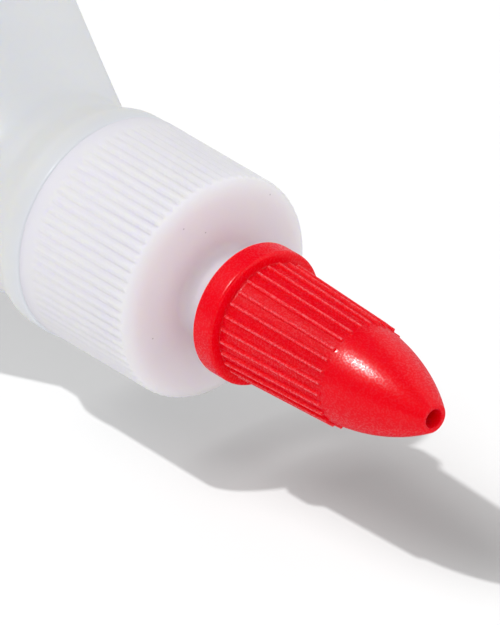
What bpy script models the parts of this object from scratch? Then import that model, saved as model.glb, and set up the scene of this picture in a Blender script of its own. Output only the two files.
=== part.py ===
"""Craft glue bottle: an oval squeeze bottle with a ribbed screw cap, a spout stem and a twist nozzle.

The bottle lies on its broad side, with its neck axis along +X and the nozzle's tip at the +X end.
The origin is below the middle of the whole object, on the surface that it lies on.
"""

import math

import bmesh
import bpy
import numpy as np
from mathutils import Matrix

MM = 0.001

# Bottle body, measured along the neck axis from its base; its broad sides stand proud of the cap
BODY_WIDTH = 56.0 * MM
BODY_LENGTH = 58.0 * MM
BODY_PROUD = 6.8 * MM
BODY_POWER = 2.5
ROUND_POWER = 2.0
BODY_WALL = 1.0 * MM
BASE_EDGE_RADIUS = 3.0 * MM
BASE_FOOT_WIDTH = 3.5 * MM
BASE_RECESS = 0.8 * MM
SHOULDER_LENGTH = 30.5 * MM
SHOULDER_CORNER_RADIUS = 20.0 * MM
WAIST_STEP = 1.4 * MM
WAIST_LENGTH = 6.6 * MM
WAIST_BEND_RADIUS = 12.0 * MM
RING_STEP = 0.4 * MM
RING_LENGTH = 4.0 * MM
RING_ROUND = 1.2 * MM
NECK_DIAMETER = 22.0 * MM
NECK_WALL = 1.6 * MM
NECK_LENGTH = 16.3 * MM
NECK_ROUND = 0.5 * MM

# Sealing ring between the bottle's lip and the cap
LINER_THICKNESS = 1.0 * MM
LINER_OVERHANG = 0.4 * MM

# Screw cap and its spout stem, measured from the cap's open edge
THREAD_ROOM = 1.2 * MM
CAP_WALL = 1.5 * MM
CAP_PLATE = 1.6 * MM
CAP_FRONT_ROUND = 2.2 * MM
CAP_RIM_STEP = 0.15 * MM
CAP_RIM_LENGTH = 1.6 * MM
CAP_RIB_COUNT = 70
CAP_RIB_HEIGHT = 0.3 * MM
CAP_RIB_CREST_SHARE = 0.42
CAP_RIB_FOOT_SHARE = 0.74
STEM_DIAMETER = 10.4 * MM
STEM_WALL = 1.2 * MM
STEM_LENGTH = 18.5 * MM
STEM_FILLET = 1.4 * MM
SPOKE_COUNT = 3
SPOKE_WIDTH = 1.2 * MM
SPOKE_DEPTH = 2.0 * MM
PIN_FOOT_DIAMETER = 3.2 * MM

# Twist nozzle, measured from the back of its collar
NOZZLE_LIFT = 4.8 * MM
COLLAR_STEP = 1.5 * MM
COLLAR_LENGTH = 3.4 * MM
COLLAR_ROUND = 0.5 * MM
BARREL_REAR_WALL = 1.45 * MM
BARREL_FRONT_WALL = 0.7 * MM
BARREL_PAST_STEM = 1.5 * MM
NOZZLE_RIB_COUNT = 28
NOZZLE_RIB_WIDTH = 0.4 * MM
NOZZLE_RIB_HEIGHT = 0.45 * MM
NOZZLE_RIB_SETBACK = 1.0 * MM
NOSE_LENGTH = 12.4 * MM
NOSE_START_SLOPE = math.radians(5.7)
ORIFICE_DIAMETER = 2.3 * MM
ORIFICE_LENGTH = 1.8 * MM
LIP_WALL = 0.5 * MM

# Clearances between pieces that touch, slide or turn
SEAT_GAP = 0.3 * MM
CAP_EDGE_GAP = 0.4 * MM
LINER_CLEARANCE = 0.4 * MM
SLIDE_CLEARANCE = 0.3 * MM
PIN_CLEARANCE = 0.15 * MM
PIN_SETBACK = 0.2 * MM
SINK = 0.3 * MM

# Facets
BOTTLE_SIDES = 48
TURN_STEPS_CAP = CAP_RIB_COUNT
TURN_STEPS_NOZZLE = 2 * NOZZLE_RIB_COUNT
TURN_STEPS_LINER = 48
PIN_SIDES = 24
ARC_STEPS = 4
NOSE_STEPS = 9
FILLET_SHARE = 0.49
SHARP_ANGLE = math.radians(40)
MERGE = 0.01 * MM

# Diameters that follow from the neck outwards, and from the stem outwards
NECK_BORE = NECK_DIAMETER - 2 * NECK_WALL
CAP_BORE = NECK_DIAMETER + 2 * THREAD_ROOM
CAP_ROOT_DIAMETER = CAP_BORE + 2 * CAP_WALL
CAP_DIAMETER = CAP_ROOT_DIAMETER + 2 * CAP_RIB_HEIGHT
CAP_RIM_DIAMETER = CAP_DIAMETER + 2 * CAP_RIM_STEP
RING_DIAMETER = CAP_DIAMETER + 2 * RING_STEP
BODY_DEPTH = CAP_DIAMETER + 2 * BODY_PROUD
WAIST_DIAMETER = RING_DIAMETER - 2 * WAIST_STEP
LINER_BORE = NECK_BORE - 2 * LINER_OVERHANG
LINER_DIAMETER = CAP_BORE - 2 * LINER_CLEARANCE
STEM_BORE = STEM_DIAMETER - 2 * STEM_WALL
NOZZLE_BORE = STEM_DIAMETER + 2 * SLIDE_CLEARANCE
BARREL_REAR_DIAMETER = NOZZLE_BORE + 2 * BARREL_REAR_WALL
BARREL_FRONT_DIAMETER = NOZZLE_BORE + 2 * BARREL_FRONT_WALL
COLLAR_DIAMETER = BARREL_REAR_DIAMETER + 2 * COLLAR_STEP
LIP_DIAMETER = ORIFICE_DIAMETER + 2 * LIP_WALL
PIN_TIP_DIAMETER = ORIFICE_DIAMETER - 2 * PIN_CLEARANCE

# Places along the bottle, from its base
WAIST_START = BODY_LENGTH + SHOULDER_LENGTH
RING_START = WAIST_START + WAIST_LENGTH
RING_END = RING_START + RING_LENGTH
LIP_END = RING_END + NECK_LENGTH
CAP_START = RING_END + CAP_EDGE_GAP

# Places along the nozzle, from the back of its collar
NOZZLE_BORE_END = STEM_LENGTH
BARREL_END = NOZZLE_BORE_END + BARREL_PAST_STEM
NOZZLE_LENGTH = BARREL_END + NOSE_LENGTH
MOUTH_CHAMFER = STEM_FILLET + SLIDE_CLEARANCE

# Places along the cap, from its open edge
LINER_START = LIP_END + SEAT_GAP - CAP_START
PLATE_START = LINER_START + LINER_THICKNESS + SEAT_GAP
CAP_LENGTH = PLATE_START + CAP_PLATE
STEM_END = CAP_LENGTH + STEM_LENGTH
NOZZLE_START = CAP_LENGTH + SEAT_GAP + NOZZLE_LIFT
PIN_END = CAP_LENGTH + SEAT_GAP + NOZZLE_LENGTH - PIN_SETBACK
PIN_START = STEM_END - SPOKE_DEPTH - 2 * SINK

# The whole object
TOTAL_LENGTH = CAP_START + NOZZLE_START + NOZZLE_LENGTH
AXIS_HEIGHT = BODY_DEPTH / 2
BASE_X = -TOTAL_LENGTH / 2

# Colours and roughness
BOTTLE_COLOUR = (0.66, 0.68, 0.72, 1.0)
WHITE_COLOUR = (0.84, 0.83, 0.87, 1.0)
FOAM_COLOUR = (0.88, 0.88, 0.86, 1.0)
RED_COLOUR = (0.80, 0.010, 0.020, 1.0)
BOTTLE_ROUGHNESS = 0.35
WHITE_ROUGHNESS = 0.4
FOAM_ROUGHNESS = 0.8
RED_ROUGHNESS = 0.3


def clear_scene():
    for item in list(bpy.data.objects):
        bpy.data.objects.remove(item, do_unlink=True)


def new_collection(name):
    group = bpy.data.collections.new(name)
    bpy.context.scene.collection.children.link(group)
    return group


def plastic(name, colour, roughness):
    material = bpy.data.materials.new(name)
    material.use_nodes = True
    shader = material.node_tree.nodes["Principled BSDF"]
    shader.inputs["Base Color"].default_value = colour
    shader.inputs["Roughness"].default_value = roughness
    shader.inputs["Metallic"].default_value = 0.0
    return material


def add_object(name, mesh, group, material=None):
    item = bpy.data.objects.new(name, mesh)
    group.objects.link(item)
    if material is not None:
        mesh.materials.append(material)
    return item


def hide_tool(item):
    item.hide_render = True
    item.display_type = "WIRE"
    return item


def rounded_path(corners):
    """Turn (x, y, radius) corners into points, with an arc at each corner that has a radius."""
    points = []
    last = len(corners) - 1
    for index, (x, y, radius) in enumerate(corners):
        here = np.array((x, y))
        if radius == 0 or index in (0, last):
            points.append(here)
            continue
        before = np.array(corners[index - 1][:2]) - here
        after = np.array(corners[index + 1][:2]) - here
        shorter = min(np.linalg.norm(before), np.linalg.norm(after))
        before = before / np.linalg.norm(before)
        after = after / np.linalg.norm(after)
        half = math.acos(float(np.clip(before @ after, -1, 1))) / 2
        reach = min(radius / math.tan(half), shorter * FILLET_SHARE)
        radius = reach * math.tan(half)
        middle = before + after
        centre = here + middle / np.linalg.norm(middle) * radius / math.sin(half)
        start = here + before * reach - centre
        end = here + after * reach - centre
        turn = math.pi - 2 * half
        for step in range(ARC_STEPS + 1):
            share = step / ARC_STEPS
            blend = start * math.sin((1 - share) * turn) + end * math.sin(share * turn)
            points.append(centre + blend / math.sin(turn))
    return points


def turned(name, profile, steps, group, material=None):
    """Revolve a closed (radius, height) profile, listed down its outer side, about local Z."""
    mesh = bpy.data.meshes.new(name)
    vertices = [(radius, 0.0, height) for radius, height in profile]
    count = len(vertices)
    mesh.from_pydata(vertices, [(i, (i + 1) % count) for i in range(count)], [])
    item = add_object(name, mesh, group, material)
    screw = item.modifiers.new("turn", "SCREW")
    screw.axis = "Z"
    screw.angle = 2 * math.pi
    screw.steps = steps
    screw.render_steps = steps
    screw.use_merge_vertices = True
    screw.merge_threshold = MERGE
    screw.use_smooth_shade = True
    return item


def join(item, tool, name):
    union = item.modifiers.new(name, "BOOLEAN")
    union.operation = "UNION"
    union.solver = "EXACT"
    union.object = tool


def mesh_from_bmesh(name, build):
    mesh = bpy.data.meshes.new(name)
    bm = bmesh.new()
    build(bm)
    bm.to_mesh(mesh)
    bm.free()
    return mesh


def section(half_width, half_depth, power):
    """Points of a superellipse whose flat facets touch its full width and depth."""
    angles = (np.arange(BOTTLE_SIDES) + 0.5) * 2 * math.pi / BOTTLE_SIDES
    across = np.sign(np.cos(angles)) * np.abs(np.cos(angles)) ** (2 / power)
    up = np.sign(np.sin(angles)) * np.abs(np.sin(angles)) ** (2 / power)
    return np.column_stack((across / across.max() * half_width, up / up.max() * half_depth))


def body_station(x, half_width, inset):
    """One section of the body: its depth and squareness grow with its width from waist to body."""
    waist = WAIST_DIAMETER / 2 - inset
    full = BODY_WIDTH / 2 - inset
    share = min(max((half_width - waist) / (full - waist), 0.0), 1.0)
    half_depth = waist + (BODY_DEPTH / 2 - inset - waist) * share
    return x, half_width, half_depth, ROUND_POWER + (BODY_POWER - ROUND_POWER) * share


def round_station(x, radius):
    return x, radius, radius, ROUND_POWER


def foot_station(x, inset):
    """A section of the base, drawn in all round by the inset."""
    return x, BODY_WIDTH / 2 - inset, BODY_DEPTH / 2 - inset, BODY_POWER


def base_edge_stations(start, inset, radius):
    """Stations round the base's edge, from its flat foot to the side wall."""
    stations = []
    for step in range(ARC_STEPS + 1):
        angle = step / ARC_STEPS * math.pi / 2
        drawn_in = inset + radius * (1 - math.sin(angle))
        stations.append(foot_station(start + radius * (1 - math.cos(angle)), drawn_in))
    return stations


def shoulder_path(inset):
    """The side's outline in plan, from above the base to the waist, drawn in by the inset."""
    start = BASE_EDGE_RADIUS + BODY_WALL
    width = BODY_WIDTH / 2 - inset
    waist = WAIST_DIAMETER / 2 - inset
    corners = [
        (start, width, 0),
        (BODY_LENGTH, width, SHOULDER_CORNER_RADIUS),
        (WAIST_START, waist, WAIST_BEND_RADIUS),
        (RING_START, waist, 0),
    ]
    return [body_station(x, half_width, inset) for x, half_width in rounded_path(corners)]


def bottle_stations():
    """All sections in order: outside from base to lip, then inside from lip to base."""
    recess = BASE_EDGE_RADIUS + BASE_FOOT_WIDTH
    outside = [foot_station(BASE_RECESS, recess + BASE_RECESS), foot_station(0.0, recess)]
    outside += base_edge_stations(0.0, 0.0, BASE_EDGE_RADIUS)
    outside += shoulder_path(0.0)[:-1]
    neck = [
        (RING_START, WAIST_DIAMETER / 2, 0),
        (RING_START + RING_ROUND / 2, RING_DIAMETER / 2, RING_ROUND),
        (RING_END, RING_DIAMETER / 2, RING_ROUND),
        (RING_END, NECK_DIAMETER / 2, 0),
        (LIP_END, NECK_DIAMETER / 2, NECK_ROUND),
        (LIP_END, NECK_BORE / 2, NECK_ROUND),
        (RING_START + RING_ROUND, NECK_BORE / 2, 0),
    ]
    outside += [round_station(x, radius) for x, radius in rounded_path(neck)]
    inside = shoulder_path(BODY_WALL)[::-1]
    inner_edge = max(BASE_EDGE_RADIUS - BODY_WALL, BODY_WALL / 2)
    inner_floor = BASE_RECESS + BODY_WALL
    inside += base_edge_stations(inner_floor, BODY_WALL, inner_edge)[::-1]
    return outside + inside


def make_bottle(group):
    stations = bottle_stations()
    rings = []

    def loft(bm):
        for x, half_width, half_depth, power in stations:
            ring = section(half_width, half_depth, power)
            rings.append([bm.verts.new((x, y, z)) for y, z in ring])
        for near, far in zip(rings, rings[1:]):
            for side in range(BOTTLE_SIDES):
                following = (side + 1) % BOTTLE_SIDES
                bm.faces.new((near[side], far[side], far[following], near[following]))
        for ring in (rings[0], rings[-1]):
            bm.faces.new(ring)
        bmesh.ops.recalc_face_normals(bm, faces=bm.faces)

    mesh = mesh_from_bmesh("bottle", loft)
    mesh.shade_smooth()
    mesh.set_sharp_from_angle(angle=SHARP_ANGLE)
    material = plastic("translucent_plastic", BOTTLE_COLOUR, BOTTLE_ROUGHNESS)
    bottle = add_object("bottle", mesh, group, material)
    bottle.location = (BASE_X, 0.0, AXIS_HEIGHT)
    return bottle


def make_neck_axis(group):
    """The axis that cap, liner and nozzle turn on, with local +Z along world +X."""
    axis = bpy.data.objects.new("neck_axis", None)
    axis.location = (BASE_X + CAP_START, 0.0, AXIS_HEIGHT)
    axis.rotation_euler = (0.0, math.pi / 2, 0.0)
    group.objects.link(axis)
    return axis


def make_liner(group):
    profile = [
        (LINER_BORE / 2, LINER_THICKNESS),
        (LINER_DIAMETER / 2, LINER_THICKNESS),
        (LINER_DIAMETER / 2, 0.0),
        (LINER_BORE / 2, 0.0),
    ]
    material = plastic("foam", FOAM_COLOUR, FOAM_ROUGHNESS)
    liner = turned("cap_liner", profile, TURN_STEPS_LINER, group, material)
    liner.location = (0.0, 0.0, LINER_START)
    return liner


def cap_profile():
    root = CAP_ROOT_DIAMETER / 2
    rim = CAP_RIM_DIAMETER / 2
    corners = [
        (STEM_BORE / 2, STEM_END, 0),
        (STEM_DIAMETER / 2, STEM_END, SLIDE_CLEARANCE),
        (STEM_DIAMETER / 2, CAP_LENGTH, STEM_FILLET),
        (root, CAP_LENGTH, CAP_FRONT_ROUND),
        (root, CAP_RIM_LENGTH + CAP_RIB_HEIGHT, 0),
        (rim, CAP_RIM_LENGTH, 0),
        (rim, 0.0, CAP_RIB_HEIGHT),
        (CAP_BORE / 2, 0.0, 0),
        (CAP_BORE / 2, PLATE_START, 0),
        (STEM_BORE / 2, PLATE_START, 0),
    ]
    return rounded_path(corners)


def polygon_spline(curve, points):
    spline = curve.splines.new("POLY")
    spline.points.add(len(points) - 1)
    spline.use_cyclic_u = True
    for point, (x, y) in zip(spline.points, points):
        point.co = (x, y, 0.0, 1.0)


def cap_rib_ring(group):
    """A toothed ring, sunk into the cap's skirt, whose teeth are the grip ribs."""
    crest = CAP_DIAMETER / 2
    foot = CAP_ROOT_DIAMETER / 2 - SINK / 2
    inner = foot - SINK
    pitch = 2 * math.pi / CAP_RIB_COUNT
    outline = []
    for rib in range(CAP_RIB_COUNT):
        for radius, share in (
            (foot, -CAP_RIB_FOOT_SHARE),
            (crest, -CAP_RIB_CREST_SHARE),
            (crest, CAP_RIB_CREST_SHARE),
            (foot, CAP_RIB_FOOT_SHARE),
        ):
            angle = (rib + share / 2) * pitch
            outline.append((radius * math.cos(angle), radius * math.sin(angle)))
    hole = [(inner * math.cos(i * pitch), inner * math.sin(i * pitch)) for i in range(CAP_RIB_COUNT)]
    low = CAP_RIM_LENGTH
    high = CAP_LENGTH - CAP_FRONT_ROUND
    curve = bpy.data.curves.new("cap_ribs_outline", "CURVE")
    curve.dimensions = "2D"
    curve.fill_mode = "BOTH"
    curve.extrude = (high - low) / 2
    polygon_spline(curve, outline)
    polygon_spline(curve, hole)
    drawn = add_object("cap_ribs_outline", curve, group)
    bpy.context.view_layer.update()
    evaluated = drawn.evaluated_get(bpy.context.evaluated_depsgraph_get())
    mesh = bpy.data.meshes.new_from_object(evaluated)
    bpy.data.objects.remove(drawn, do_unlink=True)
    bm = bmesh.new()
    bm.from_mesh(mesh)
    bmesh.ops.remove_doubles(bm, verts=bm.verts, dist=MERGE)
    bmesh.ops.translate(bm, verts=bm.verts, vec=(0.0, 0.0, (high + low) / 2))
    bmesh.ops.recalc_face_normals(bm, faces=bm.faces)
    bm.to_mesh(mesh)
    bm.free()
    return hide_tool(add_object("cap_ribs", mesh, group))


def stem_spokes(group):
    """Spokes at the stem's end, which carry the pin and leave the glue a way past it."""
    inner = PIN_FOOT_DIAMETER / 2 - SINK
    outer = STEM_BORE / 2 + SINK

    def build(bm):
        for spoke in range(SPOKE_COUNT):
            turn = Matrix.Rotation(spoke * 2 * math.pi / SPOKE_COUNT, 4, "Z")
            place = Matrix.Translation(((inner + outer) / 2, 0.0, STEM_END - SINK - SPOKE_DEPTH / 2))
            size = Matrix.Diagonal((outer - inner, SPOKE_WIDTH, SPOKE_DEPTH, 1.0))
            bmesh.ops.create_cube(bm, size=1.0, matrix=turn @ place @ size)

    return hide_tool(add_object("stem_spokes", mesh_from_bmesh("stem_spokes", build), group))


def stem_pin(group):
    """The pin that closes the nozzle's orifice when the nozzle is screwed down."""
    def build(bm):
        bmesh.ops.create_cone(
            bm,
            cap_ends=True,
            segments=PIN_SIDES,
            radius1=PIN_FOOT_DIAMETER / 2,
            radius2=PIN_TIP_DIAMETER / 2,
            depth=PIN_END - PIN_START,
            matrix=Matrix.Translation((0.0, 0.0, (PIN_END + PIN_START) / 2)),
        )

    return hide_tool(add_object("stem_pin", mesh_from_bmesh("stem_pin", build), group))


def make_cap(group, tools):
    material = plastic("white_plastic", WHITE_COLOUR, WHITE_ROUGHNESS)
    cap = turned("screw_cap", cap_profile(), TURN_STEPS_CAP, group, material)
    for tool in (cap_rib_ring(tools), stem_spokes(tools), stem_pin(tools)):
        tool.parent = cap
        join(cap, tool, tool.name)
    return cap


def nose_arc():
    """A circular arc from the tip's lip back to the barrel, as (radius, height) points."""
    start = BARREL_FRONT_DIAMETER / 2
    run = NOZZLE_LENGTH - BARREL_END
    fall = start - LIP_DIAMETER / 2
    chord_slope = math.atan2(fall, run)
    half_turn = chord_slope - NOSE_START_SLOPE
    radius = math.hypot(run, fall) / (2 * math.sin(half_turn))
    points = []
    for step in range(NOSE_STEPS + 1):
        slope = NOSE_START_SLOPE + (1 - step / NOSE_STEPS) * 2 * half_turn
        height = BARREL_END + radius * (math.sin(slope) - math.sin(NOSE_START_SLOPE))
        points.append((start - radius * (math.cos(NOSE_START_SLOPE) - math.cos(slope)), height))
    return points


def nozzle_profile():
    bore = NOZZLE_BORE / 2
    collar = [
        (BARREL_REAR_DIAMETER / 2, COLLAR_LENGTH, 0),
        (COLLAR_DIAMETER / 2, COLLAR_LENGTH, COLLAR_ROUND),
        (COLLAR_DIAMETER / 2, 0.0, COLLAR_ROUND),
        (bore + MOUTH_CHAMFER, 0.0, 0),
        (bore, MOUTH_CHAMFER, 0),
        (bore, NOZZLE_BORE_END, 0),
        (ORIFICE_DIAMETER / 2, NOZZLE_LENGTH - ORIFICE_LENGTH, 0),
        (ORIFICE_DIAMETER / 2, NOZZLE_LENGTH, 0),
    ]
    return nose_arc() + rounded_path(collar)


def nozzle_ribs(group):
    """Straight grip ribs that follow the barrel's taper, square at their ends."""
    low = COLLAR_LENGTH + NOZZLE_RIB_SETBACK
    run = BARREL_END - low
    fall = (BARREL_REAR_DIAMETER - BARREL_FRONT_DIAMETER) / 2
    taper = math.atan2(fall, BARREL_END - COLLAR_LENGTH)
    middle_share = (low + run / 2 - COLLAR_LENGTH) / (BARREL_END - COLLAR_LENGTH)
    surface = BARREL_REAR_DIAMETER / 2 - fall * middle_share
    tall = NOZZLE_RIB_HEIGHT + SINK
    centre = surface + (NOZZLE_RIB_HEIGHT - SINK) / 2

    def build(bm):
        for rib in range(NOZZLE_RIB_COUNT):
            turn = Matrix.Rotation((rib + 0.5) * 2 * math.pi / NOZZLE_RIB_COUNT, 4, "Z")
            place = Matrix.Translation((centre, 0.0, low + run / 2))
            lean = Matrix.Rotation(-taper, 4, "Y")
            size = Matrix.Diagonal((tall, NOZZLE_RIB_WIDTH, run, 1.0))
            bmesh.ops.create_cube(bm, size=1.0, matrix=turn @ place @ lean @ size)

    return hide_tool(add_object("nozzle_ribs", mesh_from_bmesh("nozzle_ribs", build), group))


def make_nozzle(group, tools):
    material = plastic("red_plastic", RED_COLOUR, RED_ROUGHNESS)
    nozzle = turned("twist_nozzle", nozzle_profile(), TURN_STEPS_NOZZLE, group, material)
    ribs = nozzle_ribs(tools)
    ribs.parent = nozzle
    join(nozzle, ribs, ribs.name)
    nozzle.location = (0.0, 0.0, NOZZLE_START)
    return nozzle


def main():
    clear_scene()
    parts = new_collection("craft_glue_bottle")
    tools = new_collection("tools")
    make_bottle(parts)
    axis = make_neck_axis(parts)
    for piece in (make_liner(parts), make_cap(parts, tools), make_nozzle(parts, tools)):
        piece.parent = axis
    bpy.context.view_layer.update()


main()
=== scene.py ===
import math

import bmesh
import bpy
import numpy as np
from mathutils import Matrix, Vector


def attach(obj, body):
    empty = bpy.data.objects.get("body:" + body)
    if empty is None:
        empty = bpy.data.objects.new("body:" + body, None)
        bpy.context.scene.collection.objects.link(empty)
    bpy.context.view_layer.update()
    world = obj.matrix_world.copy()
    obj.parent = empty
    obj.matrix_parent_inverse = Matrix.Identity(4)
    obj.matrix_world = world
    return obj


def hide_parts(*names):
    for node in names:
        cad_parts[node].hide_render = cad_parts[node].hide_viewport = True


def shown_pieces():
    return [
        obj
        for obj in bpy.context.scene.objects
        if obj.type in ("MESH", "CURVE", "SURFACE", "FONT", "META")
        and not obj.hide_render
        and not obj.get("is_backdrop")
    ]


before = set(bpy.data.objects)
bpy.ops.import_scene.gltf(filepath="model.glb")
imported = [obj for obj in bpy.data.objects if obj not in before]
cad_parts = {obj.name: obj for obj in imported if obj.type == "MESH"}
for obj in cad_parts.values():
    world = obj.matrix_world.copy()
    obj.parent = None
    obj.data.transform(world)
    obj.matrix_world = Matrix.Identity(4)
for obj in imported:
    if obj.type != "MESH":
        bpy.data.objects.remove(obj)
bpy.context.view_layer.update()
print("frame loaded:", sorted(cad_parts))

mm = 0.001
fullTurn = 2 * math.pi
axisHeight = 20.8 * mm  # the neck axis lies along X at this height
baseX = -78.05 * mm  # the bottle's foot
capX = 21.45 * mm  # the cap's open edge
nozzleX = 45.65 * mm  # the back of the nozzle's collar
risePerRadian = 0.506 * mm  # of the cap as it unscrews
noiseSpan = (0.3, 0.7)  # where most values of a noise lie
ellipse = 2.0  # power of a superellipse that is a plain ellipse


# Path through (x, y, radius) corners: an arc of that radius, tangent to both legs, takes the place of each
# corner, and at most legShare of the shorter leg.
def roundedPath(corners, arcSteps=8, legShare=0.49):
    corners = np.array(corners, float)
    points = [corners[:1, :2]]
    for before, here, after in zip(corners[:-2], corners[1:-1], corners[2:]):
        if here[2] == 0:
            points.append(here[None, :2])
            continue
        legIn, legOut = before[:2] - here[:2], after[:2] - here[:2]
        lengthIn, lengthOut = np.linalg.norm(legIn), np.linalg.norm(legOut)
        legIn, legOut = legIn / lengthIn, legOut / lengthOut
        half = math.acos(np.clip(legIn @ legOut, -1, 1)) / 2
        reach = min(here[2] / math.tan(half), legShare * min(lengthIn, lengthOut))
        radius = reach * math.tan(half)
        middle = (legIn + legOut) / np.linalg.norm(legIn + legOut)
        centre = here[:2] + middle * radius / math.sin(half)
        turn = math.pi - 2 * half
        share = np.linspace(0, 1, arcSteps + 1)[:, None]
        start, end = here[:2] + legIn * reach - centre, here[:2] + legOut * reach - centre
        arc = start * np.sin((1 - share) * turn) + end * np.sin(share * turn)
        points.append(centre + arc / math.sin(turn))
    points.append(corners[-1:, :2])
    return np.vstack(points)


# The same path with extra points wherever two neighbours are further apart than the longest step allows.
def finePath(points, longest):
    gaps = np.linalg.norm(np.diff(points, axis=0), axis=1)
    counts = np.maximum(np.ceil(gaps / longest).astype(int), 1)
    places = np.concatenate([k + np.arange(n) / n for k, n in enumerate(counts)] + [[len(gaps)]])
    known = np.arange(len(points))
    return np.column_stack([np.interp(places, known, column) for column in points.T])


# Rises from 0 to 1 between two places, level at both ends.
def ease(value, low, high):
    share = np.clip((value - low) / (high - low), 0, 1)
    return share * share * (3 - 2 * share)


# Equal angles round the neck axis.
def evenAngles(count):
    return np.arange(count) * 2 * math.pi / count


# Faces of a grid of points: quads between neighbours. Each row closes on itself, and in a closed grid the last
# row joins the first.
def gridFaces(rows, columns, closed):
    i = np.arange(rows if closed else rows - 1)[:, None]
    j = np.arange(columns)[None, :]
    nextI, nextJ = (i + 1) % rows, (j + 1) % columns
    corners = (i * columns + j, nextI * columns + j, nextI * columns + nextJ, i * columns + nextJ)
    return np.stack(np.broadcast_arrays(*corners), axis=-1).reshape(-1, 4)


# Volume that the faces close in: negative where they point inwards, and then they are turned round.
def facingOut(points, faces):
    a, b, c, d = (points[faces[:, k]] for k in range(4))
    volume = np.sum(np.cross(b - a, c - a) * a) + np.sum(np.cross(c - a, d - a) * a)
    return faces if volume > 0 else faces[:, ::-1]


# Points that fall together, as at a pole or a closed end, become one.
def weldPoles(mesh, distance=1e-6, shortest=1e-8):
    work = bmesh.new()
    work.from_mesh(mesh)
    bmesh.ops.remove_doubles(work, verts=work.verts, dist=distance)
    bmesh.ops.dissolve_degenerate(work, edges=work.edges, dist=shortest)
    work.to_mesh(mesh)
    work.free()


def meshPiece(name, points, faces, material, body, replaced=(), poles=False):
    faces = facingOut(points, faces)
    mesh = bpy.data.meshes.new(name)
    mesh.vertices.add(len(points))
    mesh.vertices.foreach_set("co", np.asarray(points, np.float32).ravel())
    mesh.loops.add(faces.size)
    mesh.loops.foreach_set("vertex_index", faces.astype(np.int32).ravel())
    mesh.polygons.add(len(faces))
    mesh.polygons.foreach_set("loop_start", np.arange(len(faces), dtype=np.int32) * 4)
    mesh.update(calc_edges=True)
    mesh.validate()
    if poles:
        weldPoles(mesh)
    mesh.polygons.foreach_set("use_smooth", np.ones(len(mesh.polygons), bool))
    mesh.materials.append(material)
    piece = bpy.data.objects.new(name, mesh)
    bpy.context.scene.collection.objects.link(piece)
    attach(piece, body)
    if replaced:
        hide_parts(*replaced)
    print(name, len(mesh.vertices), "points,", len(mesh.polygons), "faces")
    return piece


# Piece from a grid of points about the neck axis: closed like a tyre, or else with a pole at both ends.
def gridPiece(name, grid, material, body, replaced=(), closed=False):
    faces = gridFaces(grid.shape[0], grid.shape[1], closed)
    return meshPiece(name, grid.reshape(-1, 3), faces, material, body, replaced, poles=not closed)


# Ring of points about the neck axis: x along it, radius and angle from it.
def aboutAxis(x, radius, angle):
    x, radius, angle = np.broadcast_arrays(x, radius, angle)
    return np.stack((x, radius * np.cos(angle), axisHeight + radius * np.sin(angle)), axis=-1)


# One number for each point of a piece, for its material.
def storeValues(piece, name, values):
    stored = piece.data.attributes.new(name, "FLOAT", "POINT")
    stored.data.foreach_set("value", values.astype(np.float32).ravel())


# Place of each point of a piece along the neck axis.
def alongAxis(piece):
    places = np.empty(len(piece.data.vertices) * 3, np.float32)
    piece.data.vertices.foreach_get("co", places)
    return places[::3]


# Bead carried along a helix: its round section, cut flat at crest and foot, rises from a wall and fades out
# at both ends.
def helixBead(thread):
    share = np.linspace(0, 1, thread["steps"])[:, None]
    angle = thread["startAngle"] + share * thread["turns"] * 2 * math.pi
    middle = thread["startX"] + share * thread["turns"] * thread["pitch"]
    fade = np.minimum(ease(share, 0, thread["fadeShare"]), ease(1 - share, 0, thread["fadeShare"]))
    around = np.linspace(0, fullTurn, thread["sides"], endpoint=False)[None, :]
    width = thread["halfWidth"] * (thread["endWidth"] + (1 - thread["endWidth"]) * fade)
    rise = np.clip(np.sin(around), -thread["footCut"], thread["crestCut"])
    above = thread["height"] * fade * np.maximum(rise, 0) / thread["crestCut"]
    below = thread["sunk"] * np.minimum(rise, 0) / thread["footCut"]
    inside = ((share > 0) & (share < 1)).astype(float)  # each end closes on a point inside the wall
    out = (above + below) * inside - thread["sunk"] * (1 - inside)
    x = middle + width * np.cos(around) * inside
    return aboutAxis(x, thread["wall"] + thread["side"] * out, angle)


def addNode(tree, kind, **inputs):
    node = tree.nodes.new(kind)
    for key, value in inputs.items():
        node.inputs[key].default_value = value
    return node


def newMaterial(name):
    material = bpy.data.materials.new(name)
    material.use_nodes = True
    return material, material.node_tree, material.node_tree.nodes["Principled BSDF"]


def objectPlace(tree):
    place = tree.nodes.get("Texture Coordinate") or addNode(tree, "ShaderNodeTexCoord")
    return place.outputs["Object"]


def objectNoise(tree, size, detail):
    noise = addNode(tree, "ShaderNodeTexNoise", Scale=1 / size, Detail=detail)
    tree.links.new(objectPlace(tree), noise.inputs["Vector"])
    return noise.outputs["Fac"]


def mapRange(tree, value, low, high, newLow, newHigh, smooth=False):
    node = addNode(tree, "ShaderNodeMapRange")
    node.interpolation_type = "SMOOTHSTEP" if smooth else "LINEAR"
    for key, number in zip(("From Min", "From Max", "To Min", "To Max"), (low, high, newLow, newHigh)):
        node.inputs[key].default_value = number
    tree.links.new(value, node.inputs["Value"])
    return node.outputs["Result"]


def mixColours(tree, share, first, second):
    node = addNode(tree, "ShaderNodeMix")
    node.data_type = "RGBA"
    tree.links.new(share, node.inputs["Factor"])
    for key, colour in ((6, first), (7, second)):  # the node's colour sockets A and B
        if isinstance(colour, tuple):
            node.inputs[key].default_value = (*colour, 1)
        else:
            tree.links.new(colour, node.inputs[key])
    return node.outputs[2]


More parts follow.
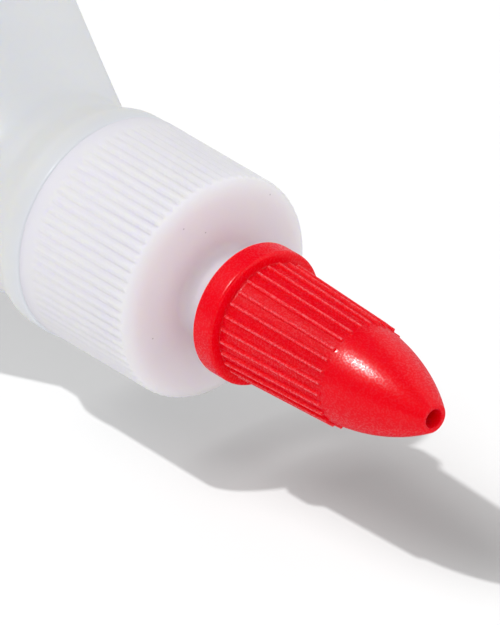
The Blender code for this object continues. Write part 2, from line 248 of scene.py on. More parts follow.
def mixNumbers(tree, share, first, second):
    node = addNode(tree, "ShaderNodeMix")
    tree.links.new(share, node.inputs["Factor"])
    for key, value in (("A", first), ("B", second)):
        if isinstance(value, float):
            node.inputs[key].default_value = value
        else:
            tree.links.new(value, node.inputs[key])
    return node.outputs["Result"]


def addBump(tree, height, distance):
    bump = addNode(tree, "ShaderNodeBump", Strength=1.0, Distance=distance)
    tree.links.new(height, bump.inputs["Height"])
    return bump.outputs["Normal"]


def calculate(tree, operation, first, second):
    node = addNode(tree, "ShaderNodeMath")
    node.operation = operation
    tree.links.new(first, node.inputs[0])
    tree.links.new(second, node.inputs[1])
    return node.outputs["Value"]


# A number stored with each point of the mesh.
def attribute(tree, name):
    node = addNode(tree, "ShaderNodeAttribute")
    node.attribute_name = name
    return node.outputs["Fac"]


# Fine scratches along X: noise drawn out in that direction, of which only the highest parts show.
def streaks(tree, size, share, shown=(0.55, 0.75)):
    drawnOut = addNode(tree, "ShaderNodeMapping", Scale=(1 / size[0], 1 / size[1], 1 / size[1]))
    noise = addNode(tree, "ShaderNodeTexNoise", Scale=1.0, Detail=1.0)
    tree.links.new(objectPlace(tree), drawnOut.inputs["Vector"])
    tree.links.new(drawnOut.outputs["Vector"], noise.inputs["Vector"])
    return mapRange(tree, noise.outputs["Fac"], *shown, 0, share, smooth=True)


# Sparse specks: the cells of a Voronoi pattern whose own random number is high, marked near the cell's
# point only.
def specks(tree, cell, share, size, step=0.001, core=0.5):
    cells = addNode(tree, "ShaderNodeTexVoronoi", Scale=1 / cell)
    tree.links.new(objectPlace(tree), cells.inputs["Vector"])
    split = addNode(tree, "ShaderNodeSeparateColor")
    tree.links.new(cells.outputs["Color"], split.inputs["Color"])
    chosen = mapRange(tree, split.outputs["Red"], 1 - share, 1 - share + step, 0, 1)
    near = mapRange(tree, cells.outputs["Distance"], size, size * core, 0, 1, smooth=True)
    return calculate(tree, "MULTIPLY", chosen, near)


# Light sinks into bottle and cap and comes out again nearby, less of it beside their joint. A thin gloss
# lies on top.
def softPlastic(tree, shader, look):
    sinks = mapRange(tree, attribute(tree, "joint"), 0, 1, 1, look["atJoint"])
    tree.links.new(sinks, shader.inputs["Subsurface Weight"])
    shader.inputs["Subsurface Radius"].default_value = look["reach"]
    shader.inputs["Subsurface Scale"].default_value = look["depth"]
    share, roughness = look["gloss"]
    shader.inputs["Coat Weight"].default_value = share
    shader.inputs["Coat Roughness"].default_value = roughness


# Clouded translucent plastic of the blow-moulded bottle
clearLook = {
    "colour": (0.895, 0.925, 0.99),
    "clouded": (0.915, 0.94, 0.995),
    "depth": 1.5 * mm,
    "atJoint": 0.0,  # share of light that sinks in beside the cap
    "reach": (1.0, 0.9, 0.65),  # blue light is turned back sooner than red
    "gloss": (0.15, 0.25),  # share and roughness of the skin on top
    "roughness": (0.55, 0.65),
    "waveSize": 9 * mm,
    "waveHeight": 0.06 * mm,
}


def bottlePlastic():
    look = clearLook
    material, tree, shader = newMaterial("clouded bottle plastic")
    cloud = objectNoise(tree, look["waveSize"], detail=3)
    tree.links.new(mixColours(tree, cloud, look["colour"], look["clouded"]), shader.inputs["Base Color"])
    tree.links.new(mapRange(tree, cloud, *noiseSpan, *look["roughness"]), shader.inputs["Roughness"])
    softPlastic(tree, shader, look)
    tree.links.new(addBump(tree, cloud, look["waveHeight"]), shader.inputs["Normal"])
    return material


# White cap plastic: soft, a little see-through, with a fine grain and a few specks of dust
whiteLook = {
    "colour": (0.88, 0.865, 0.935),
    "clouded": (0.90, 0.885, 0.95),
    "cloudSize": 6 * mm,
    "dust": (0.58, 0.57, 0.61),
    "depth": 1.8 * mm,
    "atJoint": 0.25,  # share of light that sinks in beside the bottle
    "reach": (1.0, 1.05, 0.8),
    "roughness": (0.42, 0.52),
    "gloss": (0.12, 0.26),  # share and roughness of the skin on top
    "grainSize": 0.25 * mm,
    "grainHeight": 0.004 * mm,
    "speckCell": 2.9 * mm,
    "speckShare": 0.12,
    "speckSize": 0.045,  # in cells
}


def capPlastic():
    look = whiteLook
    material, tree, shader = newMaterial("white cap plastic")
    cloud = objectNoise(tree, look["cloudSize"], detail=2)
    grain = objectNoise(tree, look["grainSize"], detail=2)
    clean = mixColours(tree, cloud, look["colour"], look["clouded"])
    dust = specks(tree, look["speckCell"], look["speckShare"], look["speckSize"])
    tree.links.new(mixColours(tree, dust, clean, look["dust"]), shader.inputs["Base Color"])
    tree.links.new(mapRange(tree, grain, *noiseSpan, *look["roughness"]), shader.inputs["Roughness"])
    softPlastic(tree, shader, look)
    tree.links.new(addBump(tree, grain, look["grainHeight"]), shader.inputs["Normal"])
    return material


# Red nozzle plastic: half gloss, with the fine spark-eroded grain of its mould
redLook = {
    "colour": (0.93, 0.001, 0.012),
    "deep": (0.89, 0.001, 0.011),
    "scuff": (0.98, 0.10, 0.12),
    # paler red of the painted highlight along the ribs' crests
    "crest": (0.99, 0.13, 0.15),
    "cloudSize": 2.5 * mm,
    "depth": 1.4 * mm,
    "reach": (1.0, 0.1, 0.1),
    "roughness": 0.6,
    "glossRoughness": 0.28,
    "glossIndex": 1.5,
    "sparkle": (0.35, 1.0),  # share of gloss between and on the grains
    "sparkleSpan": (0.47, 0.62),
    "grainSize": 0.24 * mm,
    "grainHeight": 0.012 * mm,
    # how much of the painted crest highlight the grain leaves, and where
    "crestShare": (0.2, 1.0),
    "crestSpan": (0.35, 0.65),
    "streakSize": (5 * mm, 0.13 * mm),  # along the barrel and across it
    "streakShare": 0.22,
    "scuffCell": 1.5 * mm,
    "scuffShare": 0.12,
    "scuffSize": 0.11,  # in cells
}


def nozzlePlastic():
    look = redLook
    material, tree, shader = newMaterial("red nozzle plastic")
    cloud = objectNoise(tree, look["cloudSize"], detail=2)
    grain = objectNoise(tree, look["grainSize"], detail=1)
    clean = mixColours(tree, cloud, look["colour"], look["deep"])
    # use has scuffed the barrel, and the ribs' crests carry a painted highlight: a paler colour that the grain
    # breaks up
    scuffs = specks(tree, look["scuffCell"], look["scuffShare"], look["scuffSize"])
    worn = calculate(tree, "MAXIMUM", scuffs, streaks(tree, look["streakSize"], look["streakShare"]))
    onBarrel = calculate(tree, "MULTIPLY", attribute(tree, "barrel"), worn)
    scuffed = mixColours(tree, onBarrel, clean, look["scuff"])
    broken = mapRange(tree, grain, *look["crestSpan"], *look["crestShare"])
    crestHighlight = calculate(tree, "MULTIPLY", attribute(tree, "crest"), broken)
    tree.links.new(mixColours(tree, crestHighlight, scuffed, look["crest"]), shader.inputs["Base Color"])
    shader.inputs["Roughness"].default_value = look["roughness"]
    shader.inputs["Specular IOR Level"].default_value = 0.0
    shader.inputs["Subsurface Weight"].default_value = 1.0
    shader.inputs["Subsurface Radius"].default_value = look["reach"]
    shader.inputs["Subsurface Scale"].default_value = look["depth"]
    # all the gloss is in the skin on top, and strongest on the grains
    sparkle = mapRange(tree, grain, *look["sparkleSpan"], *look["sparkle"], smooth=True)
    tree.links.new(sparkle, shader.inputs["Coat Weight"])
    shader.inputs["Coat IOR"].default_value = look["glossIndex"]
    shader.inputs["Coat Roughness"].default_value = look["glossRoughness"]
    grained = addBump(tree, grain, look["grainHeight"])
    tree.links.new(grained, shader.inputs["Normal"])
    tree.links.new(grained, shader.inputs["Coat Normal"])
    return material


# Foam of the sealing ring: matt, with open pores whose hollows are painted darker, a painted shade
foamLook = {
    "colour": (0.80, 0.80, 0.77),
    # painted shade in the pores' hollows
    "poreShade": (0.66, 0.66, 0.63),
    "poreSize": 0.22 * mm,
    "poreDepth": 0.03 * mm,
    "poreSpan": (0.38, 0.62),
    "roughness": 0.9,
}


def linerFoam():
    look = foamLook
    material, tree, shader = newMaterial("liner foam")
    pores = objectNoise(tree, look["poreSize"], detail=3)
    shade = mapRange(tree, pores, *look["poreSpan"], 0, 1, smooth=True)
    # the pores' hollows are painted darker: painted shade
    tree.links.new(mixColours(tree, shade, look["poreShade"], look["colour"]), shader.inputs["Base Color"])
    shader.inputs["Roughness"].default_value = look["roughness"]
    tree.links.new(addBump(tree, shade, look["poreDepth"]), shader.inputs["Normal"])
    return material


clouded = bottlePlastic()
white = capPlastic()
red = nozzlePlastic()
foam = linerFoam()
print("plastics and foam ready")

# Places along the bottle are measured from its foot
bottle = {
    "halfWidth": 28 * mm,
    "halfDepth": axisHeight,  # the bottle lies on its broad side
    "power": 2.5,  # 2 is an ellipse, more is squarer
    "wall": 1.0 * mm,
    "baseEdge": 3.0 * mm,
    "footWidth": 3.5 * mm,
    "recess": 0.8 * mm,
    "dome": 0.5 * mm,
    "domeRings": 22,
    "domeCrowding": 0.8,  # below 1 the rings lie closer towards the edge
    "edgeRings": 10,
    "corner": 58 * mm,
    "cornerRadius": 20 * mm,
    "waistStart": 88.5 * mm,
    "waistRadius": 13.0 * mm,
    "waistBend": 12 * mm,
    "waistEnd": 90.5 * mm,
    "flareStart": 92.6 * mm,
    "flareBend": 5.0 * mm,
    "ringStart": 96.2 * mm,
    "ringBend": 3.5 * mm,
    "ringRadius": 14.2 * mm,
    "ringTop": 98.9 * mm,
    "ringRound": 0.8 * mm,
    "ringEnd": 99.495 * mm,
    "ringEdge": 14.14 * mm,
    "ringSag": 0.2 * mm,  # the ring lies a little low against the cap
    "neckRadius": 11.0 * mm,
    "neckRound": 0.3 * mm,
    "neckBore": 9.4 * mm,
    "boreBend": 1.0 * mm,
    "lipEnd": 115.4 * mm,
    "lipRound": 0.5 * mm,
    "jointReach": 3.0 * mm,
    "seamHeight": 0.10 * mm,
    "seamWidth": 0.22 * mm,
    "seamAngles": (0.0009, 0.0022, 0.0045, 0.0078, 0.013),  # of the extra columns beside the seam
    "baseSeam": 2.0,  # times as high across the base
    "baseSeamEnd": 9 * mm,
    "baseSeamFade": 2 * mm,
    "sides": 232,
    "outerStep": 1.6 * mm,
    "innerStep": 2.4 * mm,
    "ringStep": 1.2 * mm,
    "slack": 0.01 * mm,
}


# Half width, half depth and squareness along the side: depth and squareness follow the width from waist to
# body.
def sideStations(path, inset):
    waist, full = bottle["waistRadius"] - inset, bottle["halfWidth"] - inset
    share = np.clip((path[:, 1] - waist) / (full - waist), 0, 1)
    depth = waist + (bottle["halfDepth"] - inset - waist) * share
    return np.column_stack((path[:, 0], path[:, 1], depth, ellipse + (bottle["power"] - ellipse) * share))


# The base from its middle to the side wall: a shallow dome, a flat foot ring where it is footed, and a
# rounded edge.
def baseStations(start, inset, edge, footed):
    b = bottle
    width, depth = b["halfWidth"] - inset, b["halfDepth"] - inset
    angle = np.linspace(0, math.pi / 2, b["edgeRings"])
    drawnIn = edge * (1 - np.sin(angle))
    arc = np.column_stack((start + edge * (1 - np.cos(angle)), width - drawnIn, depth - drawnIn))
    foot, hollow, rise = np.empty((0, 3)), edge, 0
    if footed:
        inner = edge + b["footWidth"]
        foot = np.array([[start, width - inner, depth - inner]])
        hollow, rise = inner + b["recess"], b["recess"]
    share = np.linspace(0, 1, b["domeRings"])[:, None] ** b["domeCrowding"]
    x = start + rise + b["dome"] * (1 - share**2)
    dome = np.hstack((x, (width - hollow) * share, (depth - hollow) * share))
    stations = np.vstack((dome, foot, arc))
    return np.column_stack((stations, np.full(len(stations), b["power"])))


# Closed skin of the bottle: superellipse sections, |y/width|^n + |z/depth|^n = 1, strung along the neck axis,
# outside from the base's middle to the lip and then inside from the lip back to the floor's middle.
def bottleGrid():
    b = bottle
    side = [(b["baseEdge"] + b["wall"], b["halfWidth"], 0),
            (b["corner"], b["halfWidth"], b["cornerRadius"]),
            (b["waistStart"], b["waistRadius"], b["waistBend"]),
            (b["waistEnd"], b["waistRadius"], 0)]
    neck = [(b["waistEnd"], b["waistRadius"], 0),
            (b["flareStart"], b["waistRadius"], b["flareBend"]),
            (b["ringStart"], b["ringRadius"], b["ringBend"]),
            (b["ringTop"], b["ringRadius"], b["ringRound"]),
            (b["ringEnd"], b["ringEdge"], 0),
            (b["ringEnd"], b["neckRadius"], b["neckRound"]),
            (b["lipEnd"], b["neckRadius"], b["lipRound"]),
            (b["lipEnd"], b["neckBore"], b["lipRound"]),
            (b["ringStart"], b["neckBore"], b["boreBend"]),
            (b["waistEnd"], b["waistRadius"] - b["wall"], 0)]
    inSide = [(x, y - b["wall"], bend) for x, y, bend in side]
    outer = sideStations(finePath(roundedPath(side, arcSteps=14), b["outerStep"]), 0)
    inner = sideStations(finePath(roundedPath(inSide, arcSteps=12), b["innerStep"]), b["wall"])[::-1]
    ring = finePath(roundedPath(neck, arcSteps=7), b["ringStep"])
    ring = np.column_stack((ring, ring[:, 1], np.full(len(ring), ellipse)))
    outBase = baseStations(0, 0, b["baseEdge"], True)
    inBase = baseStations(b["recess"] + b["wall"], b["wall"], b["baseEdge"] - b["wall"], False)[::-1]
    stations = np.vstack((outBase, outer, ring[1:-1], inner, inBase))
    outside = np.arange(len(stations)) < len(outBase) + len(outer)
    beside = np.array(b["seamAngles"])
    seams = (beside, -beside % fullTurn, math.pi - beside, math.pi + beside)
    angle = np.unique(np.round(np.concatenate((evenAngles(b["sides"]), *seams)), 6))
    x, width, depth, power = (column[:, None] for column in stations.T)
    across, up = np.cos(angle), np.sin(angle)
    y = width * np.sign(across) * np.abs(across) ** (2 / power)
    z = depth * np.sign(up) * np.abs(up) ** (2 / power)
    onRing = width > b["neckRadius"] + b["wall"]
    z = z - b["ringSag"] * ease(x, b["waistEnd"], b["ringStart"]) * onRing
    # parting line of the mould: a thin ridge where its halves met, up the narrow sides and across the base
    ridge = b["seamHeight"] * np.exp(-(z / b["seamWidth"]) ** 2) * outside[:, None]
    onBase = x < b["recess"] + b["dome"] + b["slack"]
    flat = onBase & (width < b["halfWidth"] - b["baseEdge"] - b["footWidth"])
    fade = ease(b["halfWidth"] - b["baseSeamEnd"] - width, 0, b["baseSeamFade"])
    y = y + np.where(flat, 0, ridge * np.sign(across))
    x = x - np.where(flat, b["baseSeam"] * ridge * fade, 0)
    return np.stack((baseX + np.broadcast_to(x, y.shape), y, axisHeight + z), axis=-1)


bottlePiece = gridPiece("bottle_skin", bottleGrid(), clouded, "bottle_body", ["bottle"])
# light that sinks in would be lost at the joint of bottle and cap, so it stays on the surface there
besideCap = bottle["ringEnd"] - bottle["jointReach"]
storeValues(bottlePiece, "joint", ease(alongAxis(bottlePiece) - baseX, besideCap, bottle["ringEnd"]))

neckThread = {
    "pitch": fullTurn * risePerRadian,
    "startX": capX + 7.4 * mm,
    "startAngle": 0.0,
    "turns": 2.0,
    "wall": bottle["neckRadius"],
    "side": 1,  # outwards
    "height": 0.95 * mm,
    "sunk": 0.25 * mm,
    "halfWidth": 0.62 * mm,
    "endWidth": 0.35,  # share of the width that is left at both ends
    "fadeShare": 0.06,
    "footCut": 0.35,  # heights at which the round section is cut, in radii
    "crestCut": 0.8,
    "steps": 320,
    "sides": 20,
}
gridPiece("neck_thread", helixBead(neckThread), clouded, "bottle_body")

linerRing = {
    "start": 16.2 * mm,  # from the cap's open edge
    "thick": 1.0 * mm,
    "bore": 9.0 * mm,
    "outer": 11.8 * mm,
    "round": 0.2 * mm,
    "sides": 120,
    "step": 0.5 * mm,
}


# Ring turned about the neck axis from a rounded rectangle.
def linerGrid():
    r = linerRing
    low, high = capX + r["start"], capX + r["start"] + r["thick"]
    middle = (r["bore"] + r["outer"]) / 2
    corners = [(low, middle, 0), (low, r["outer"], r["round"]), (high, r["outer"], r["round"]),
               (high, r["bore"], r["round"]), (low, r["bore"], r["round"]), (low, middle, 0)]
    path = finePath(roundedPath(corners, arcSteps=5), r["step"])[:-1]
    return aboutAxis(path[:, :1], path[:, 1:], evenAngles(r["sides"])[None, :])


linerPiece = gridPiece("foam_liner", linerGrid(), foam, "seal", ["cap_liner"], closed=True)

# Spout stem on the cap's face, with the pin that three spokes hold in its end. Places along it are
# measured from the cap's open edge.
spout = {
    "end": 37.6 * mm,
    "radius": 5.2 * mm,
    "bore": 3.95 * mm,
    "round": 0.3 * mm,
    "foot": 1.2 * mm,
    "pinStart": 35.0 * mm,
    "pinEnd": 51.6 * mm,
    "pinFoot": 1.6 * mm,
    "pinTip": 1.0 * mm,
    "pinRound": 0.35 * mm,
    "pinSides": 48,
    "pinStep": 1.2 * mm,
    "spokes": 3,
    "spokeWidth": 1.2 * mm,
    "spokeStart": 35.3 * mm,
    "spokeEnd": 37.3 * mm,
    "spokeRound": 0.3 * mm,
    "spokeStep": 0.4 * mm,
    "spokeRings": 8,
    "sunk": 0.3 * mm,
}

# Places along the cap are measured from its open edge
cap = {
    "length": 19.1 * mm,
    "backRadius": 14.12 * mm,
    "frontRadius": 14.0 * mm,
    "rimLength": 1.7 * mm,
    "rimRound": 0.01 * mm,
    "frontRound": (1.4 * mm, 2.3 * mm),  # along the axis and towards it
    "frontRings": 24,
    "bore": 12.2 * mm,
    "boreRound": 0.3 * mm,
    "plateStart": 17.5 * mm,
    "plateRound": 0.4 * mm,
    "ribs": 70,
    "grooveDepth": (0.15 * mm, 0.36 * mm),  # at their back and front ends
    "depthPower": 2,
    "grooveSharpness": 2.0,
    "grooveStart": 1.8 * mm,
    "grooveFade": (1.0 * mm, 0.7 * mm),  # over which they begin and end
    "grooveEnd": 18.4 * mm,
    "startRings": 8,
    "stepsPerRib": 8,
    "skirtStep": 0.8 * mm,
    "insideStep": 1.5 * mm,
    "jointReach": 3.0 * mm,
}


# Cap turned about the neck axis, with a quarter ellipse for its front edge. Round its skirt the radius drops
# by depth * |2 * rib phase|^sharpness, which leaves rounded ribs with narrow grooves between them. The
# grooves get deeper towards the front and run out on the front edge's curve.
def capGrid():
    c, s = cap, spout
    along, inward = c["frontRound"]
    begin, finish = c["grooveFade"]
    taper = (c["frontRadius"] - c["backRadius"]) / (c["length"] - along - c["rimLength"])
    ramp = c["grooveStart"] + np.linspace(0, 1, c["startRings"]) * begin
    ramp = np.column_stack((ramp, c["backRadius"] + taper * (ramp - c["rimLength"])))
    bend = np.linspace(0, math.pi / 2, c["frontRings"])
    edgeX = c["length"] - along * (1 - np.sin(bend))
    edge = np.column_stack((edgeX, c["frontRadius"] - inward * (1 - np.cos(bend))))
    start = (c["rimLength"], c["backRadius"], 0)
    corners = [(c["length"], c["frontRadius"] - inward, 0), (c["length"], s["radius"], s["foot"]),
               (s["end"], s["radius"], s["round"]), (s["end"], s["bore"], s["round"]),
               (c["plateStart"], s["bore"], s["round"]), (c["plateStart"], c["bore"], c["plateRound"]),
               (0, c["bore"], c["boreRound"]), (0, c["backRadius"], c["rimRound"]), start]
    skirt = finePath(np.vstack((np.array(start[:2])[None, :], ramp, edge)), c["skirtStep"])
    path = np.vstack((skirt, finePath(roundedPath(corners), c["insideStep"])[1:-1]))
    x, radius = path[:, :1], path[:, 1:]
    onSkirt = (np.arange(len(path)) < len(skirt))[:, None]
    angle = evenAngles(c["ribs"] * c["stepsPerRib"])
    phase = (angle * c["ribs"] / fullTurn + 0.5) % 1 - 0.5
    rear, front = c["grooveDepth"]
    forward = np.clip((x - c["grooveStart"]) / (c["grooveEnd"] - c["grooveStart"]), 0, 1)
    depth = rear + (front - rear) * forward ** c["depthPower"]
    drop = depth * np.abs(2 * phase[None, :]) ** c["grooveSharpness"]
    begun = ease(x, c["grooveStart"], c["grooveStart"] + begin)
    ended = ease(x, c["grooveEnd"] - finish, c["grooveEnd"])
    drop = np.where(onSkirt, drop * begun * (1 - ended), 0)
    return aboutAxis(capX + x, radius - drop, angle[None, :])


capPiece = gridPiece("ribbed_cap", capGrid(), white, "cap", ["screw_cap"], closed=True)
storeValues(capPiece, "joint", 1 - ease(alongAxis(capPiece) - capX, 0, cap["jointReach"]))

# The cap's thread is the neck's, turned inwards from the cap's bore and half a turn longer
capThread = dict(neckThread, startX=capX + 2.63 * mm, turns=2.5, wall=cap["bore"], side=-1, steps=400)
gridPiece("cap_thread", helixBead(capThread), white, "cap")


# Pin turned about the neck axis: a slim cone with rounded ends.
def pinGrid():
    s = spout
    corners = [(s["pinStart"], 0, 0), (s["pinStart"], s["pinFoot"], s["pinRound"]),
               (s["pinEnd"], s["pinTip"], s["pinRound"]), (s["pinEnd"], 0, 0)]
    path = finePath(roundedPath(corners, arcSteps=6), s["pinStep"])
    return aboutAxis(capX + path[:, :1], path[:, 1:], evenAngles(s["pinSides"])[None, :])


gridPiece("spout_pin", pinGrid(), white, "cap")


# Spokes: a rounded rectangle carried along the radius from the pin to the stem's wall, once for each spoke.
def spokeGrid():
    s = spout
    half, low, high = s["spokeWidth"] / 2, s["spokeStart"], s["spokeEnd"]
    corners = [(low, 0, 0), (low, half, s["spokeRound"]), (high, half, s["spokeRound"]),
               (high, -half, s["spokeRound"]), (low, -half, s["spokeRound"]), (low, 0, 0)]
    section = finePath(roundedPath(corners, arcSteps=5), s["spokeStep"])[:-1]
    inner, outer = s["pinFoot"] - s["sunk"], s["bore"] + s["sunk"]
    reach = np.concatenate(([inner], np.linspace(inner, outer, s["spokeRings"]), [outer]))
    size = np.concatenate(([0], np.ones(s["spokeRings"]), [0]))[None, :, None]  # both ends close on a point
    turn = evenAngles(s["spokes"])[:, None, None]
    along, across = reach[None, :, None], size * section[None, None, :, 1]
    y = along * np.cos(turn) - across * np.sin(turn)
    z = along * np.sin(turn) + across * np.cos(turn)
    middle = (low + high) / 2
    x = np.broadcast_to(capX + middle + size * (section[None, None, :, 0] - middle), y.shape)
    return np.stack((x, y, axisHeight + z), axis=-1)


spokes = spokeGrid()
count, rings, sides = spokes.shape[:3]
faces = np.concatenate([gridFaces(rings, sides, False) + k * rings * sides for k in range(count)])
meshPiece("spout_spokes", spokes.reshape(-1, 3), faces, white, "cap", poles=True)

# Places along the nozzle are measured from the back of its collar
nozzle = {
    "length": 32.4 * mm,
    "collarStart": 0.2 * mm,
    "collarRadius": 8.4 * mm,
    "collarLength": 3.4 * mm,
    "collarRound": 0.4 * mm,
    "collarFillet": 0.25 * mm,
    "collarStep": 0.5 * mm,
    "barrelRear": 6.95 * mm,
    "barrelFront": 6.2 * mm,
    "barrelEnd": 20.0 * mm,
    "barrelRings": 22,
    "noseSlope": math.radians(5.7),
    "noseRings": 34,
    "lipRadius": 1.75 * mm,
    "lipRound": 0.15 * mm,
    "orifice": 1.15 * mm,
    "orificeLength": 1.8 * mm,
    "bore": 5.5 * mm,
    "boreEnd": 18.5 * mm,
    "insideStep": 1.2 * mm,
    "mouthChamfer": 1.7 * mm,
    "mouthRound": 0.15 * mm,
    "ribs": 28,
    "ribStart": 3.8 * mm,
    "ribGap": 0.05 * mm,  # from the last ring of the collar
    "ribInset": 0.3 * mm,  # of the even rings from both ends of the ribs
    "ribHeight": 0.45 * mm,
    "ribHalfWidth": 0.24 * mm,
    "ribColumns": (0, 0.35, 0.6, 0.78, 0.9, 0.97, 1.0, 1.2, 1.8),  # beside its middle, in half widths
    "ribEnd": 0.12 * mm,
    "endRings": 8,
    "rearSpan": (0, 1.3),  # of the close rings at both ends, in lengths of a rib's end
    "frontSpan": (1.4, -0.1),
    "ribTip": 0.45 * mm,
    "crestPower": 5,
}


# Nozzle turned about the neck axis; its nose is a circular arc that leaves the barrel at a slight slope.
# Each rib on the barrel rises by height * sqrt(1 - (offset / half width)^2), a half round. With the points
# come two numbers for each: how strongly a painted highlight lies on it, along a rib's crest and more so at
# the rib's tips, and whether it is on the barrel.
def nozzleGrid():
    n = nozzle
    run, fall = n["length"] - n["barrelEnd"], n["barrelFront"] - n["lipRadius"]
    halfTurn = math.atan2(fall, run) - n["noseSlope"]
    arcRadius = math.hypot(run, fall) / (2 * math.sin(halfTurn))
    slope = n["noseSlope"] + np.linspace(0, 1, n["noseRings"])[:, None] * 2 * halfTurn
    nose = np.hstack((n["barrelEnd"] + arcRadius * (np.sin(slope) - math.sin(n["noseSlope"])),
                      n["barrelFront"] - arcRadius * (math.cos(n["noseSlope"]) - np.cos(slope))))
    collar = [(n["mouthChamfer"], n["bore"], 0),
              (n["collarStart"], n["bore"] + n["mouthChamfer"], n["mouthRound"]),
              (n["collarStart"], n["collarRadius"], n["collarRound"]),
              (n["collarLength"], n["collarRadius"], n["collarRound"]),
              (n["collarLength"], n["barrelRear"], n["collarFillet"]),
              (n["ribStart"] - n["ribGap"], n["barrelRear"], 0)]
    collar = finePath(roundedPath(collar), n["collarStep"])
    places = np.concatenate((
        n["ribStart"] + np.linspace(*n["rearSpan"], n["endRings"]) * n["ribEnd"],
        np.linspace(n["ribStart"] + n["ribInset"], n["barrelEnd"] - n["ribInset"], n["barrelRings"]),
        n["barrelEnd"] - np.linspace(*n["frontSpan"], n["endRings"]) * n["ribEnd"]))[:, None]
    share = (places - n["collarLength"]) / (n["barrelEnd"] - n["collarLength"])
    barrel = np.hstack((places, n["barrelRear"] + (n["barrelFront"] - n["barrelRear"]) * share))
    tip = [(*nose[-2], 0), (*nose[-1], n["lipRound"]), (n["length"], n["orifice"], n["lipRound"]),
           (n["length"] - n["orificeLength"], n["orifice"], 0), (n["boreEnd"], n["bore"], 0),
           (n["mouthChamfer"], n["bore"], 0)]
    inside = finePath(roundedPath(tip, arcSteps=6), n["insideStep"])[1:-1]
    path = np.vstack((collar, barrel, nose[1:-1], inside))
    x, radius = path[:, :1], path[:, 1:]
    pitch = fullTurn / n["ribs"]
    columns = np.array(n["ribColumns"]) * n["ribHalfWidth"]
    columns = np.concatenate((-columns[:0:-1], columns)) / n["barrelRear"]
    angle = (np.arange(n["ribs"])[:, None] * pitch + np.concatenate((columns, [pitch / 2]))).ravel()
    offset = np.abs((angle + pitch / 2) % pitch - pitch / 2) * n["barrelRear"] / n["ribHalfWidth"]
    onBarrel = np.zeros((len(path), 1))
    onBarrel[len(collar):len(collar) + len(barrel)] = 1
    begun = ease(x, n["ribStart"], n["ribStart"] + n["ribEnd"])
    ended = ease(x, n["barrelEnd"] - n["ribEnd"], n["barrelEnd"])
    rise = np.sqrt(np.clip(1 - offset**2, 0, 1))[None, :] * begun * (1 - ended) * onBarrel
    # where the painted highlight lies: on the ribs' crests, stronger at their tips
    rearTip = np.exp(-((x - n["ribStart"]) / n["ribTip"]) ** 2)
    frontTip = np.exp(-((x - n["barrelEnd"]) / n["ribTip"]) ** 2)
    crest = np.clip(rise, 0, 1) ** n["crestPower"] * (1 + rearTip + frontTip)
    points = aboutAxis(nozzleX + x, radius + n["ribHeight"] * rise, angle[None, :])
    return points, crest, np.broadcast_to(onBarrel, crest.shape)


points, crest, onBarrel = nozzleGrid()
nozzlePiece = gridPiece("ribbed_nozzle", points, red, "nozzle", ["twist_nozzle"], closed=True)
# the painted crest highlight is stored with the points for the material
storeValues(nozzlePiece, "crest", crest)
storeValues(nozzlePiece, "barrel", onBarrel)
print("object ready")

# Floor, lamps and room; each lamp's angle is its width in degrees
studio = {
    "floorSize": 6.0,
    "floorColour": 0.20,
    "floorGlow": 0.24,
    "floorBounce": 0.80,  # share of the floor's light that falls on the object
    "floorMirrored": 0.55,  # share of it that the object's gloss shows
    "key": {"toLight": (-0.22, -0.49, 0.84), "strength": 0.58, "angle": 3},
    "front": {"toLight": (0.96, -0.12, -0.05), "strength": 0.38, "angle": 60},
    "floorKey": {"toLight": (-0.400, -0.336, 0.853), "strength": 7.0, "angle": 2.0},
    "throughBoth": {"toLight": (-0.400, -0.336, 0.853), "strength": 3.1, "angle": 30},
    "throughBottle": {"toLight": (-0.400, -0.336, 0.853), "strength": 1.5, "angle": 40},
    "glint": {"toLight": (-0.22, -0.49, 0.84), "strength": 3.0, "angle": 3},
    "fill": 0.78,
    "whiteSide": (0.50, 0.86, 0),
    "whiteSpan": (0.15, 0.5),  # towards that side, where dark turns to white
    "white": 0.9,
    "dark": 0.03,
}


def studioFloor():
    half = studio["floorSize"] / 2
    corners = [(-half, -half, 0), (half, -half, 0), (half, half, 0), (-half, half, 0)]
    mesh = bpy.data.meshes.new("floor")
    mesh.from_pydata(corners, [], [(0, 1, 2, 3)])
    material = bpy.data.materials.new("white floor")
    material.use_nodes = True
    tree = material.node_tree
    tree.nodes.clear()
    output = addNode(tree, "ShaderNodeOutputMaterial")
    # white to the eye, while less of it is thrown back on the object
    rays = addNode(tree, "ShaderNodeLightPath")
    levels = studio["floorBounce"], studio["floorMirrored"]
    bounced = mapRange(tree, rays.outputs["Is Glossy Ray"], 0, 1, *levels)
    share = mixNumbers(tree, rays.outputs["Is Camera Ray"], bounced, 1.0)
    lit = addNode(tree, "ShaderNodeBsdfDiffuse")
    glow = addNode(tree, "ShaderNodeEmission")
    both = addNode(tree, "ShaderNodeAddShader")
    tree.links.new(mapRange(tree, share, 0, 1, 0, studio["floorColour"]), lit.inputs["Color"])
    tree.links.new(mapRange(tree, share, 0, 1, 0, studio["floorGlow"]), glow.inputs["Strength"])
    tree.links.new(lit.outputs["BSDF"], both.inputs[0])
    tree.links.new(glow.outputs["Emission"], both.inputs[1])
    tree.links.new(both.outputs["Shader"], output.inputs["Surface"])
    mesh.materials.append(material)
    floor = bpy.data.objects.new("floor", mesh)
    bpy.context.scene.collection.objects.link(floor)
    floor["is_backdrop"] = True
    return floor


def sunLamp(name):
    lamp = bpy.data.lights.new(name, "SUN")
    lamp.energy = studio[name]["strength"]
    lamp.angle = math.radians(studio[name]["angle"])
    sun = bpy.data.objects.new(name, lamp)
    sun.rotation_mode = "QUATERNION"
    sun.rotation_quaternion = Vector(studio[name]["toLight"]).to_track_quat("Z", "Y")
    bpy.context.scene.collection.objects.link(sun)
    return sun


def gathered(name, members):
    group = bpy.data.collections.new(name)
    for member in members:
        group.objects.link(member)
    return group


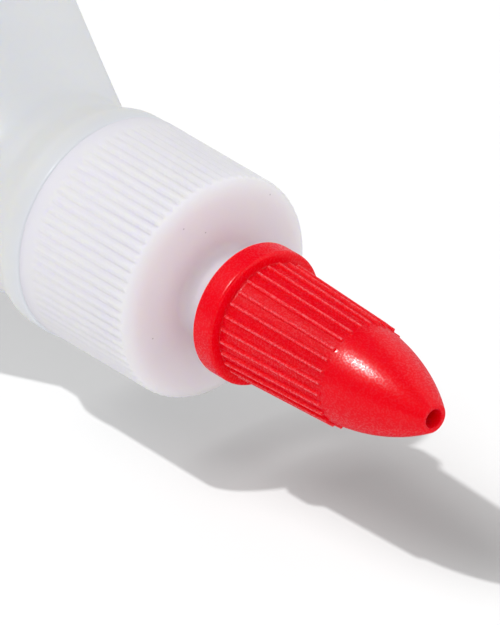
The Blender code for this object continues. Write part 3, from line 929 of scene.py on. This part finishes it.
def studioLamps(floor):
    onFloor = gathered("floor only", [floor])
    sunLamp("floorKey").light_linking.receiver_collection = onFloor
    # light on the floor that has come through bottle and cap, and through the bottle alone
    stoppedBy = {"throughBoth": (nozzlePiece, linerPiece), "throughBottle": (nozzlePiece, capPiece)}
    for name, blockers in stoppedBy.items():
        through = sunLamp(name)
        through.light_linking.receiver_collection = onFloor
        through.light_linking.blocker_collection = gathered(name, blockers)
    onPieces = gathered("pieces only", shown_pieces())
    onCap = gathered("cap and nozzle only", [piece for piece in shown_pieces() if piece != bottlePiece])
    sunLamp("key").light_linking.receiver_collection = onCap
    front = sunLamp("front")
    front.light_linking.receiver_collection = onPieces
    front.light_linking.blocker_collection = onPieces
    front.visible_glossy = False
    # the cap is too dull to show the small bright lamp
    glint = sunLamp("glint")
    glint.light_linking.receiver_collection = gathered("bottle and nozzle only", (bottlePiece, nozzlePiece))
    glint.visible_diffuse = False


# An even white to the eye and as light on the object, while its gloss shows a room with one white side.
def studioRoom():
    world = bpy.data.worlds.new("studio")
    world.use_nodes = True
    bpy.context.scene.world = world
    tree = world.node_tree
    rays = addNode(tree, "ShaderNodeLightPath")
    background = tree.nodes["Background"]
    background.inputs["Color"].default_value = (1, 1, 1, 1)
    place = addNode(tree, "ShaderNodeTexCoord")
    towards = addNode(tree, "ShaderNodeVectorMath")
    towards.operation = "DOT_PRODUCT"
    towards.inputs[1].default_value = studio["whiteSide"]
    tree.links.new(place.outputs["Generated"], towards.inputs[0])
    levels = studio["dark"], studio["white"]
    room = mapRange(tree, towards.outputs["Value"], *studio["whiteSpan"], *levels, smooth=True)
    mirrored = calculate(tree, "MAXIMUM", rays.outputs["Is Glossy Ray"], rays.outputs["Is Transmission Ray"])
    onObject = mixNumbers(tree, mirrored, studio["fill"], room)
    seen = mixNumbers(tree, rays.outputs["Is Camera Ray"], onObject, 1.0)
    tree.links.new(seen, background.inputs["Strength"])


# Where the photograph was taken from
view = {
    "azimuth": math.radians(49.292),
    "elevation": math.radians(30.629),
    "target": (49.45 * mm, 0, axisHeight),
    "right": -2.036 * mm,
    "up": 0.931 * mm,
    "distance": 0.8,
    "lens": 400.3,
    "sensor": 36,
    "clip": (0.01, 50),
}


def photoCamera():
    a, e = view["azimuth"], view["elevation"]
    right = Vector((math.cos(a), math.sin(a), 0))
    back = Vector((math.sin(a) * math.cos(e), -math.cos(a) * math.cos(e), math.sin(e)))
    above = back.cross(right)
    data = bpy.data.cameras.new("photo camera")
    data.lens = view["lens"]
    data.sensor_width = view["sensor"]
    data.clip_start, data.clip_end = view["clip"]
    camera = bpy.data.objects.new("photo camera", data)
    shift = right * view["right"] + above * view["up"]
    camera.location = Vector(view["target"]) + shift + back * view["distance"]
    camera.rotation_mode = "QUATERNION"
    camera.rotation_quaternion = Matrix((right, above, back)).transposed().to_quaternion()
    bpy.context.scene.collection.objects.link(camera)
    bpy.context.scene.camera = camera


studioLamps(studioFloor())
studioRoom()
photoCamera()
bpy.context.scene.view_settings.view_transform = "Standard"
print("studio ready")
